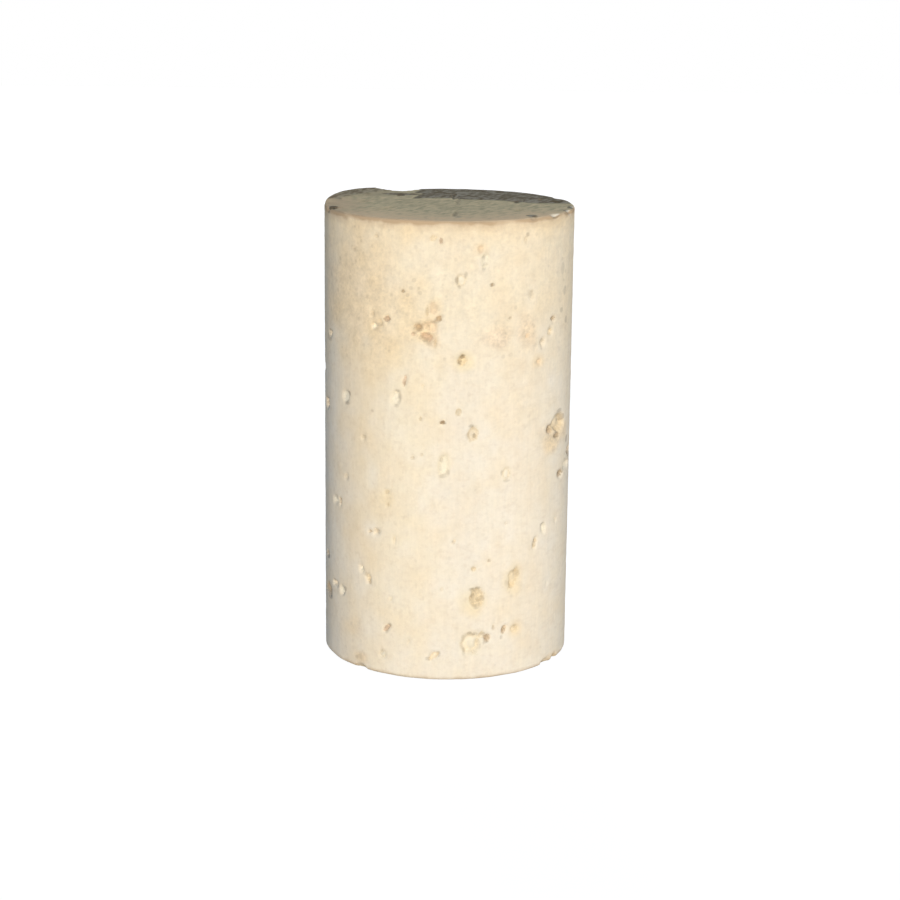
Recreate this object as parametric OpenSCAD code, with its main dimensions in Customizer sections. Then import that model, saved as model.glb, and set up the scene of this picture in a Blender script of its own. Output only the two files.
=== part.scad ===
// Cork stopper for a wine bottle: one straight plug punched out of the bark of the cork oak.
// Millimetres. The origin is the middle of the lower end and +Z is up. The front faces -Y, and
// every place round the plug is a turn in degrees from the front towards +X.

/* [Plug] */
// Diameter of the plug
plug_d = 24; // [20:0.5:30]
// Length of the plug from end to end
plug_l = 44; // [36:0.5:55]
// Radius of the worn edge round both ends
edge_r = 0.3; // [0.15:0.05:0.6]

/* [Lip] */
// Height of the curled lip that the saw left on the top end
lip_h = 0.46; // [0.2:0.02:0.8]
// Width of the lip, inwards from the side of the plug
lip_w = 2.2; // [1.5:0.1:4]
// Turn of the middle of the lip
lip_turn = -126; // [-150:1:-90]

/* [Notch] */
// Width of the notch in the top edge beside the lip
notch_w = 5; // [2:0.1:6]
// Depth of the notch
notch_deep = 0.45; // [0.2:0.05:0.8]
// Turn of the middle of the notch
notch_turn = -156; // [-170:1:-140]
// Slope of the notch, where 90 is cut straight down and 0 straight in
notch_slope = 72; // [50:1:85]

/* [Bark] */
// Turn of the direction in which the bark grew, along which its pores run
bark_turn = -24; // [-45:1:45]
// Longest mouth of a pore that the side cuts along its length
longest_mouth = 4.5; // [2:0.1:6]

/* [Pores of the back] */
// Number of pores round the back
back_pores = 66; // [20:1:90]
// Height of the smallest pore of the back
back_least = 0.4; // [0.3:0.05:0.6]
// Height of the largest pore of the back
back_most = 2; // [1:0.1:3]
// Depth of the largest pore of the back
back_deep = 0.5; // [0.3:0.05:0.8]

/* [Hidden] */

plug_r = plug_d / 2;
lip_in = plug_r - lip_w;
// How far the cutting shapes stand clear of the cork
clear = 1;
// Least depth of a pore as a share of the deepest
shallow = 0.3;
// Mouths less drawn out than this are round
round_below = 1.08;
// Facets of the drawing, which the plug's true round surfaces don't depend on
plug_facets = 180;
pore_facets = 24;

// Pores of the front: turn, height in per cent of the length, width round the plug, height,
// depth, and lean of the upper end towards +X.
front_pores = [
    // a torn cluster above the middle
    [-13.5, 77.5, 0.9, 0.7, 0.45, 20],
    [-9, 75.5, 1.3, 0.8, 0.45, 20],
    [-4, 79.5, 0.6, 0.6, 0.4, 0],
    [-9.5, 81, 0.35, 1.2, 0.25, 0],
    [-8, 77.8, 1.6, 1.1, 0.2, 0],
    [-6.5, 81.5, 1.0, 1.2, 0.15, 0],
    [-5.5, 74.5, 0.35, 0.9, 0.3, 0],
    [-15.5, 76, 0.5, 0.4, 0.2, 0],
    [6.5, 70.8, 0.9, 1.4, 0.45, 0],
    // the upper part, from left to right
    [-47, 92.5, 0.4, 0.35, 0.15, 0],
    [-36, 79.5, 0.5, 0.4, 0.15, 0],
    [-35, 77, 0.8, 0.7, 0.3, 0],
    [-34, 96, 0.6, 0.4, 0.15, 0],
    [-31.5, 77.8, 0.8, 0.35, 0.2, 60],
    [-28.5, 78.8, 0.7, 0.6, 0.3, 0],
    [-20.5, 85, 0.4, 0.4, 0.2, 0],
    [-11, 65, 0.35, 0.5, 0.15, 0],
    [-6.8, 96.3, 0.7, 0.6, 0.2, 0],
    [-3.5, 95.8, 0.4, 0.7, 0.15, 0],
    [5.5, 87.5, 1.0, 1.4, 0.25, 0],
    [14, 94, 0.7, 0.8, 0.2, 0],
    [16, 91.5, 0.7, 1.8, 0.3, 5],
    [19.5, 86.5, 0.5, 0.4, 0.2, 0],
    [28.5, 79.2, 0.4, 0.4, 0.15, 0],
    [36, 95.5, 0.3, 0.9, 0.2, 0],
    [38, 75, 0.6, 0.5, 0.2, 0],
    [40, 83.5, 0.9, 1.1, 0.15, 0],
    [45.5, 69, 0.7, 0.6, 0.2, 0],
    [47.5, 73, 0.7, 0.9, 0.25, 0],
    [53, 75, 0.8, 0.8, 0.3, 0],
    [55.5, 77.7, 0.9, 0.5, 0.3, 0],
    // the middle
    [-75, 57, 1.3, 1.2, 0.45, 0],
    [-69, 73, 1.0, 0.6, 0.3, 0],
    [-53.5, 60.5, 1.2, 1.2, 0.25, 0],
    [-41, 52.5, 0.6, 0.5, 0.15, 0],
    [-24, 62, 0.9, 1.6, 0.3, 10],
    [-19.5, 66, 0.4, 1.4, 0.25, 10],
    [-15.5, 49.3, 0.4, 0.45, 0.2, 0],
    [-12, 58, 0.3, 0.5, 0.15, 0],
    [-11.5, 50.2, 0.4, 0.4, 0.2, 0],
    [-2, 57.3, 0.6, 0.35, 0.35, 0],
    [-1.5, 48, 0.9, 2.3, 0.3, 0],
    [5, 59.5, 0.6, 0.8, 0.15, 0],
    [11.5, 54.8, 1.2, 1.6, 0.3, 0],
    [28, 45.5, 1.0, 1.4, 0.25, 0],
    [54.5, 53.4, 1.4, 0.9, 0.5, 0],
    [62.5, 54.2, 3.2, 1.9, 0.55, 0],
    [61, 51.5, 1.4, 0.6, 0.35, 0],
    [66, 42.5, 1.6, 0.9, 0.5, 0],
    [74, 43.5, 2.4, 1.0, 0.5, 0],
    [79, 46.5, 1.8, 0.9, 0.5, 0],
    // the lower part, from left to right
    [-75, 22.5, 1.3, 0.6, 0.3, 0],
    [-73, 14.5, 2.0, 1.2, 0.45, 0],
    [-64, 17, 1.3, 0.5, 0.3, 0],
    [-63, 36.3, 1.5, 0.7, 0.25, 0],
    [-58.5, 36.5, 0.5, 0.8, 0.3, 0],
    [-57, 16.3, 1.0, 0.9, 0.25, 0],
    [-53, 42.5, 0.7, 0.6, 0.15, 0],
    [-42.5, 23, 0.5, 0.8, 0.25, -20],
    [-38, 21, 0.6, 1.2, 0.35, -20],
    [-37.3, 31.8, 0.4, 0.4, 0.3, 0],
    [-33.5, 32, 0.9, 0.8, 0.3, 0],
    [-30, 4.7, 0.9, 1.0, 0.15, 0],
    [-28, 41.4, 0.6, 0.6, 0.15, 0],
    [-28, 10.7, 0.5, 1.1, 0.3, 40],
    [-27.5, 38.5, 0.4, 0.6, 0.2, 0],
    [-26, 17.5, 0.5, 0.5, 0.15, 0],
    [-24.5, 30.7, 0.3, 0.8, 0.2, 0],
    [-17, 8.4, 0.5, 0.5, 0.15, 0],
    [-5, 5.5, 0.7, 1.5, 0.35, 55],
    [-1.8, 20.6, 0.4, 0.4, 0.15, 0],
    [3.5, 31.2, 0.35, 0.9, 0.25, 30],
    [11.5, 8.2, 2.1, 2.4, 0.35, 0],
    [12.5, 25, 0.6, 0.6, 0.2, 0],
    [14, 18.6, 1.6, 2.0, 0.4, 0],
    [17, 10, 0.6, 0.6, 0.25, 0],
    [19.5, 9.2, 0.7, 0.8, 0.5, 0],
    [20, 26.6, 0.4, 0.4, 0.15, 0],
    [22.5, 11.5, 0.3, 0.5, 0.2, 0],
    [27.8, 10.7, 0.5, 1.0, 0.35, 25],
    [28, 34.6, 0.5, 0.4, 0.15, 0],
    [32.5, 22, 1.3, 2.3, 0.35, 20],
    [33.5, 10.5, 0.9, 0.9, 0.25, 0],
    [45, 29, 0.6, 1.3, 0.35, 15],
    [50.8, 31.8, 0.9, 1.1, 0.3, 25],
    [54.5, 18.5, 0.5, 0.4, 0.2, 0],
    [61.5, 32.5, 0.6, 0.4, 0.2, 0]
];

// Chips out of the edges: turn, 1 at the top end or 0 at the bottom, width, bite, and slope of
// the bite, where 90 is cut straight down the length and 0 straight in.
edge_chips = [
    [41, 1, 1.4, 0.3, 45],
    [56, 1, 1.8, 0.35, 60],
    [71, 1, 1.6, 0.4, 45],
    [84, 1, 1.4, 0.3, 60],
    [-73, 1, 2.2, 0.35, 60],
    [117, 1, 1.6, 0.35, 70],
    [-43, 0, 2.0, 0.45, 35],
    [55, 0, 2.4, 0.4, 30],
    [63, 0, 1.6, 0.5, 30],
    [150, 0, 2.0, 0.35, 45],
    [-110, 0, 1.6, 0.3, 45]
];

// Pores that the ends cut along their length: 1 at the top or 0 at the bottom, turn, distance
// from the middle in per cent of the radius, length, width, depth, and turn from the bark's.
end_pores = [
    [1, 175, 48, 4.6, 0.35, 0.2, 22],
    [1, 150, 15, 5.2, 0.3, 0.15, 22],
    [1, 5, 58, 5.0, 0.35, 0.2, 20],
    [1, 110, 60, 3.2, 0.5, 0.3, 4],
    [1, 115, 82, 1.2, 0.6, 0.35, 4],
    [1, 102, 88, 1.0, 0.5, 0.3, 10],
    [1, -60, 55, 3.4, 0.4, 0.25, -6],
    [1, -72, 92, 1.4, 0.7, 0.35, 10],
    [1, -100, 70, 2.2, 0.5, 0.3, 3],
    [1, -141, 65, 1.4, 0.5, 0.3, 0],
    [1, 60, 65, 2.0, 0.45, 0.3, -3],
    [0, 20, 45, 5.5, 0.45, 0.3, 4],
    [0, 170, 40, 4.2, 0.4, 0.3, -5],
    [0, 90, 60, 3.0, 0.5, 0.35, 2],
    [0, -85, 55, 4.0, 0.45, 0.3, 6],
    [0, -130, 70, 2.0, 0.4, 0.25, -4]
];

function part_of_one(x) = x - floor(x);

// Pores of the back, spread evenly by three ratios that never fall into step, with the mouth
// drawn out where the side runs along the pore and not across it.
back_from = 88;
back_to = 278;
even = [0.754878, 0.56984, 0.618034];
function back_pore(i) =
    let (
        turn = back_from + (back_to - back_from) * part_of_one(even[0] * i),
        height = 100 * part_of_one(even[1] * i),
        share = pow(part_of_one(even[2] * i), 3),
        tall = back_least + (back_most - back_least) * share,
        wide = min(tall / max(abs(cos(turn - bark_turn)), 0.01), max(longest_mouth, tall)),
        deep = back_deep * (shallow + (1 - shallow) * share)
    )
    [turn, height, wide, tall, deep, 0];

// The common part of two balls, which meets the surface in a mouth of the given length (along
// x) and width (along y) and goes down to the given depth below z = 0.
module pore(long, wide, deep) {
    lens_r = (long * long / 4 + deep * deep) / (2 * deep);
    apart = (long * long - wide * wide) / (4 * wide);
    ball_r = sqrt(lens_r * lens_r + apart * apart);
    translate([0, 0, lens_r - deep])
        if (long > wide * round_below)
            intersection() {
                translate([0, apart, 0]) sphere(r = ball_r, $fn = pore_facets * 2);
                translate([0, -apart, 0]) sphere(r = ball_r, $fn = pore_facets * 2);
            }
        else
            sphere(r = lens_r, $fn = pore_facets);
}

// Places its child on the side of the plug, with z pointing outwards and x along the length.
module on_side(turn, height) {
    rotate([0, 0, turn - 90])
        translate([plug_r, 0, plug_l * height / 100])
            rotate([0, 90, 0])
                children();
}

module side_pore(p) {
    upright = p[3] >= p[2];
    on_side(p[0], p[1])
        rotate([0, 0, (upright ? 0 : 90) - p[5]])
            pore(max(p[2], p[3]), min(p[2], p[3]), p[4]);
}

module end_pore(p) {
    middle = plug_r * p[2] / 100;
    translate([0, 0, p[0] * plug_l])
        mirror([0, 0, 1 - p[0]])
            rotate([0, 0, p[1] - 90])
                translate([middle, 0, 0])
                    rotate([0, 0, bark_turn + p[6] - p[1]])
                        pore(p[3], p[4], p[5]);
}

// A bite out of the edge, which a ball leaves that comes in at the slope.
module bite(turn, end, wide, deep, slope) {
    ball_r = (wide * wide / 4 + deep * deep) / (2 * deep);
    translate([0, 0, end * plug_l])
        mirror([0, 0, 1 - end])
            rotate([0, 0, turn - 90])
                translate([plug_r, 0, 0])
                    rotate([0, -slope, 0])
                        translate([ball_r - deep, 0, 0])
                            sphere(r = ball_r, $fn = pore_facets * 2);
}

// The plain plug, turned from its half section with a true round on both edges.
module plug() {
    rotate_extrude($fn = plug_facets)
        union() {
            translate([0, edge_r]) square([plug_r, plug_l - 2 * edge_r]);
            square([plug_r - edge_r, plug_l]);
            for (height = [edge_r, plug_l - edge_r])
                intersection() {
                    translate([plug_r - edge_r, height]) circle(r = edge_r, $fn = pore_facets * 2);
                    translate([plug_r - edge_r, 0]) square([edge_r, plug_l]);
                }
        }
}

// The lip, which rises from a straight line across the top end to the side of the plug.
module lip() {
    past = plug_r + clear;
    intersection() {
        translate([0, 0, plug_l - 2 * edge_r])
            cylinder(r = plug_r, h = 2 * edge_r + lip_h + clear, $fn = plug_facets);
        rotate([0, 0, lip_turn - 90])
            translate([0, past, 0])
                rotate([90, 0, 0])
                    linear_extrude(2 * past)
                        polygon([
                            [lip_in, plug_l],
                            [past, plug_l + lip_h * (past - lip_in) / lip_w],
                            [past, plug_l - edge_r],
                            [lip_in, plug_l - edge_r]
                        ]);
    }
}

module stopper() {
    color("wheat")
        difference() {
            union() {
                plug();
                lip();
            }
            for (p = front_pores) side_pore(p);
            for (i = [1 : back_pores]) side_pore(back_pore(i));
            for (p = end_pores) end_pore(p);
            for (c = edge_chips) bite(c[0], c[1], c[2], c[3], c[4]);
            bite(notch_turn, 1, notch_w, notch_deep, notch_slope);
        }
}

stopper();
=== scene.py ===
# %% [markdown]
# # A cork stopper
# The stopper is one plug, punched out of a strip of cork bark. This lesson dresses its plain
# CAD solid. The frame is loaded first, then the skin is worked out with numpy, then it gets a
# raw cork finish made of nodes, and last come the floor, the lamps and the camera. The sizes
# come from the CAD model, so nothing is fitted to the solid by eye.

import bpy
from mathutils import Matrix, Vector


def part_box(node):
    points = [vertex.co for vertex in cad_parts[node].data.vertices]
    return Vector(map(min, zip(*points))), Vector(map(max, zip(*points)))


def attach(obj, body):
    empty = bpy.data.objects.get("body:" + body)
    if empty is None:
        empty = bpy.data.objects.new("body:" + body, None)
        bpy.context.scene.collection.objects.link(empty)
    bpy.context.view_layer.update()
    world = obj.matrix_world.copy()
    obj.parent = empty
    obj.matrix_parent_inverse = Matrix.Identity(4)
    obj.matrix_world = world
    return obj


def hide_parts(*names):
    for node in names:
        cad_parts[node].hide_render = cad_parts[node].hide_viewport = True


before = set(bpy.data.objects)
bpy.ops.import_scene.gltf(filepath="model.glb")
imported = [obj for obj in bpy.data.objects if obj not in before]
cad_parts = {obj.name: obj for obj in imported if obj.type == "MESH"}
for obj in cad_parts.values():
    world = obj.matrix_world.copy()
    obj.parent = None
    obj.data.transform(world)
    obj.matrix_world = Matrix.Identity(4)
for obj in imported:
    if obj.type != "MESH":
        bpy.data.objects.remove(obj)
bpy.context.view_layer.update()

import bpy
import numpy as np
from mathutils import Quaternion, Vector

MM = 0.001
low, high = (np.array(corner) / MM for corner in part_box("stopper"))
print("CAD box in mm:", low.round(2), high.round(2))

# %% [markdown]
# ## The sizes of the plug
# The radius and the overall height come from the solid. The few sizes that a box can't tell are
# repeated here: the curled lip that the saw left on the upper end, and the worn edges. A place
# round the plug is a turn in degrees from the front, which faces -Y, towards +X.

# %% The sizes of the plug
lip_h = 0.46
lip_w = 2.2
lip_turn = -126
edge_r = 0.3
bark_turn = -24
plug_r = (high[0] - low[0]) / 2
plug_l = high[2] - lip_h
lip_in = plug_r - lip_w
print(f"radius {plug_r:.2f} mm, length {plug_l:.2f} mm, lip {lip_h} mm above it")


def heading(turn):
    """The level unit vector at a turn: (sin turn, -cos turn, 0)."""
    angle = np.radians(turn)
    return np.stack([np.sin(angle), -np.cos(angle), np.zeros_like(angle)], -1)


# %% [markdown]
# ## Kinds of marks
# Cork grows pores, which a maker calls lenticels. They run through the bark like straws, filled
# with brown powder, and the cutter opens them wherever it passes. What shows in a mouth differs:
# some are lined with ochre dust, some with rust, and some only tore and show pale fresh cork.
# Fine specks of bark stick to them, and some mouths close round an island of cork. Each kind
# says how strong each of these is from 0 to 1, so one change here restyles all its marks.

# %% Kinds of marks
kinds = {
    "faint": dict(ochre=0.1, rust=0.0, pale=0.1, specks=0.25, island=0.0),
    "ochre": dict(ochre=0.45, rust=0.0, pale=0.4, specks=0.35, island=0.3),
    "amber": dict(ochre=0.45, rust=0.0, pale=0.5, specks=0.4, island=0.0),
    "rust": dict(ochre=0.1, rust=0.55, pale=0.0, specks=0.35, island=0.0),
    "peach": dict(ochre=0.1, rust=0.2, pale=0.0, specks=0.15, island=0.0),
    "dark": dict(ochre=0.3, rust=0.25, pale=0.0, specks=0.7, island=0.0),
    "ring": dict(ochre=0.25, rust=0.0, pale=0.6, specks=0.35, island=0.9),
    "torn": dict(ochre=0.1, rust=0.0, pale=0.9, specks=0.3, island=0.3),
}
print("kinds of marks:", ", ".join(kinds))

# %% [markdown]
# ## The pores of the front
# Each row is one mouth: its turn, its height in per cent of the plug's length, its width round
# the plug, its height and its depth in mm, the lean of its upper end towards +X in degrees, and
# its kind. The first six are the CAD model's own, because every mouth is cut there too.

# %% The pores of the front
front_pores = [
    # a torn cluster above the middle
    (-13.5, 77.5, 0.9, 0.7, 0.45, 20, "dark"),
    (-9, 75.5, 1.3, 0.8, 0.45, 20, "rust"),
    (-4, 79.5, 0.6, 0.6, 0.4, 0, "dark"),
    (-9.5, 81, 0.35, 1.2, 0.25, 0, "ochre"),
    (-8, 77.8, 1.6, 1.1, 0.2, 0, "peach"),
    (-6.5, 81.5, 1.0, 1.2, 0.15, 0, "peach"),
    (-5.5, 74.5, 0.35, 0.9, 0.3, 0, "faint"),
    (-15.5, 76, 0.5, 0.4, 0.2, 0, "rust"),
    (6.5, 70.8, 0.9, 1.4, 0.45, 0, "amber"),
    # the upper part, from left to right
    (-47, 92.5, 0.4, 0.35, 0.15, 0, "faint"),
    (-36, 79.5, 0.5, 0.4, 0.15, 0, "faint"),
    (-35, 77, 0.8, 0.7, 0.3, 0, "torn"),
    (-34, 96, 0.6, 0.4, 0.15, 0, "faint"),
    (-31.5, 77.8, 0.8, 0.35, 0.2, 60, "faint"),
    (-28.5, 78.8, 0.7, 0.6, 0.3, 0, "rust"),
    (-20.5, 85, 0.4, 0.4, 0.2, 0, "dark"),
    (-11, 65, 0.35, 0.5, 0.15, 0, "faint"),
    (-6.8, 96.3, 0.7, 0.6, 0.2, 0, "ochre"),
    (-3.5, 95.8, 0.4, 0.7, 0.15, 0, "rust"),
    (5.5, 87.5, 1.0, 1.4, 0.25, 0, "ring"),
    (14, 94, 0.7, 0.8, 0.2, 0, "peach"),
    (16, 91.5, 0.7, 1.8, 0.3, 5, "torn"),
    (19.5, 86.5, 0.5, 0.4, 0.2, 0, "dark"),
    (28.5, 79.2, 0.4, 0.4, 0.15, 0, "faint"),
    (36, 95.5, 0.3, 0.9, 0.2, 0, "faint"),
    (38, 75, 0.6, 0.5, 0.2, 0, "peach"),
    (40, 83.5, 0.9, 1.1, 0.15, 0, "faint"),
    (45.5, 69, 0.7, 0.6, 0.2, 0, "peach"),
    (47.5, 73, 0.7, 0.9, 0.25, 0, "faint"),
    (53, 75, 0.8, 0.8, 0.3, 0, "ochre"),
    (55.5, 77.7, 0.9, 0.5, 0.3, 0, "dark"),
    # the middle
    (-75, 57, 1.3, 1.2, 0.45, 0, "dark"),
    (-69, 73, 1.0, 0.6, 0.3, 0, "faint"),
    (-53.5, 60.5, 1.2, 1.2, 0.25, 0, "torn"),
    (-41, 52.5, 0.6, 0.5, 0.15, 0, "faint"),
    (-24, 62, 0.9, 1.6, 0.3, 10, "torn"),
    (-19.5, 66, 0.4, 1.4, 0.25, 10, "rust"),
    (-15.5, 49.3, 0.4, 0.45, 0.2, 0, "faint"),
    (-12, 58, 0.3, 0.5, 0.15, 0, "faint"),
    (-11.5, 50.2, 0.4, 0.4, 0.2, 0, "faint"),
    (-2, 57.3, 0.6, 0.35, 0.35, 0, "dark"),
    (-1.5, 48, 0.9, 2.3, 0.3, 0, "torn"),
    (5, 59.5, 0.6, 0.8, 0.15, 0, "ochre"),
    (11.5, 54.8, 1.2, 1.6, 0.3, 0, "ochre"),
    (28, 45.5, 1.0, 1.4, 0.25, 0, "ring"),
    (54.5, 53.4, 1.4, 0.9, 0.5, 0, "dark"),
    (62.5, 54.2, 3.2, 1.9, 0.55, 0, "ochre"),
    (61, 51.5, 1.4, 0.6, 0.35, 0, "dark"),
    (66, 42.5, 1.6, 0.9, 0.5, 0, "dark"),
    (74, 43.5, 2.4, 1.0, 0.5, 0, "torn"),
    (79, 46.5, 1.8, 0.9, 0.5, 0, "dark"),
    # the lower part, from left to right
    (-75, 22.5, 1.3, 0.6, 0.3, 0, "dark"),
    (-73, 14.5, 2.0, 1.2, 0.45, 0, "dark"),
    (-64, 17, 1.3, 0.5, 0.3, 0, "faint"),
    (-63, 36.3, 1.5, 0.7, 0.25, 0, "torn"),
    (-58.5, 36.5, 0.5, 0.8, 0.3, 0, "dark"),
    (-57, 16.3, 1.0, 0.9, 0.25, 0, "torn"),
    (-53, 42.5, 0.7, 0.6, 0.15, 0, "faint"),
    (-42.5, 23, 0.5, 0.8, 0.25, -20, "torn"),
    (-38, 21, 0.6, 1.2, 0.35, -20, "ochre"),
    (-37.3, 31.8, 0.4, 0.4, 0.3, 0, "dark"),
    (-33.5, 32, 0.9, 0.8, 0.3, 0, "faint"),
    (-30, 4.7, 0.9, 1.0, 0.15, 0, "ring"),
    (-28, 41.4, 0.6, 0.6, 0.15, 0, "ochre"),
    (-28, 10.7, 0.5, 1.1, 0.3, 40, "rust"),
    (-27.5, 38.5, 0.4, 0.6, 0.2, 0, "ochre"),
    (-26, 17.5, 0.5, 0.5, 0.15, 0, "ring"),
    (-24.5, 30.7, 0.3, 0.8, 0.2, 0, "faint"),
    (-17, 8.4, 0.5, 0.5, 0.15, 0, "faint"),
    (-5, 5.5, 0.7, 1.5, 0.35, 55, "ochre"),
    (-1.8, 20.6, 0.4, 0.4, 0.15, 0, "faint"),
    (3.5, 31.2, 0.35, 0.9, 0.25, 30, "faint"),
    (11.5, 8.2, 2.1, 2.4, 0.35, 0, "ring"),
    (12.5, 25, 0.6, 0.6, 0.2, 0, "ochre"),
    (14, 18.6, 1.6, 2.0, 0.4, 0, "amber"),
    (17, 10, 0.6, 0.6, 0.25, 0, "ochre"),
    (19.5, 9.2, 0.7, 0.8, 0.5, 0, "dark"),
    (20, 26.6, 0.4, 0.4, 0.15, 0, "faint"),
    (22.5, 11.5, 0.3, 0.5, 0.2, 0, "faint"),
    (27.8, 10.7, 0.5, 1.0, 0.35, 25, "dark"),
    (28, 34.6, 0.5, 0.4, 0.15, 0, "faint"),
    (32.5, 22, 1.3, 2.3, 0.35, 20, "ochre"),
    (33.5, 10.5, 0.9, 0.9, 0.25, 0, "ochre"),
    (45, 29, 0.6, 1.3, 0.35, 15, "ochre"),
    (50.8, 31.8, 0.9, 1.1, 0.3, 25, "torn"),
    (54.5, 18.5, 0.5, 0.4, 0.2, 0, "faint"),
    (61.5, 32.5, 0.6, 0.4, 0.2, 0, "faint"),
]
print(len(front_pores), "pores on the front")

# %% [markdown]
# ## The grains of bark
# Larger grains of dark bark stick in the mouths and on their rims, and a few sit alone in the
# skin. They are too flat to be cut, so only the finish shows them. Each row is one grain: its
# turn, its height in per cent, its width and height in mm, and how dark it is from 0 to 1.

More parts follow.
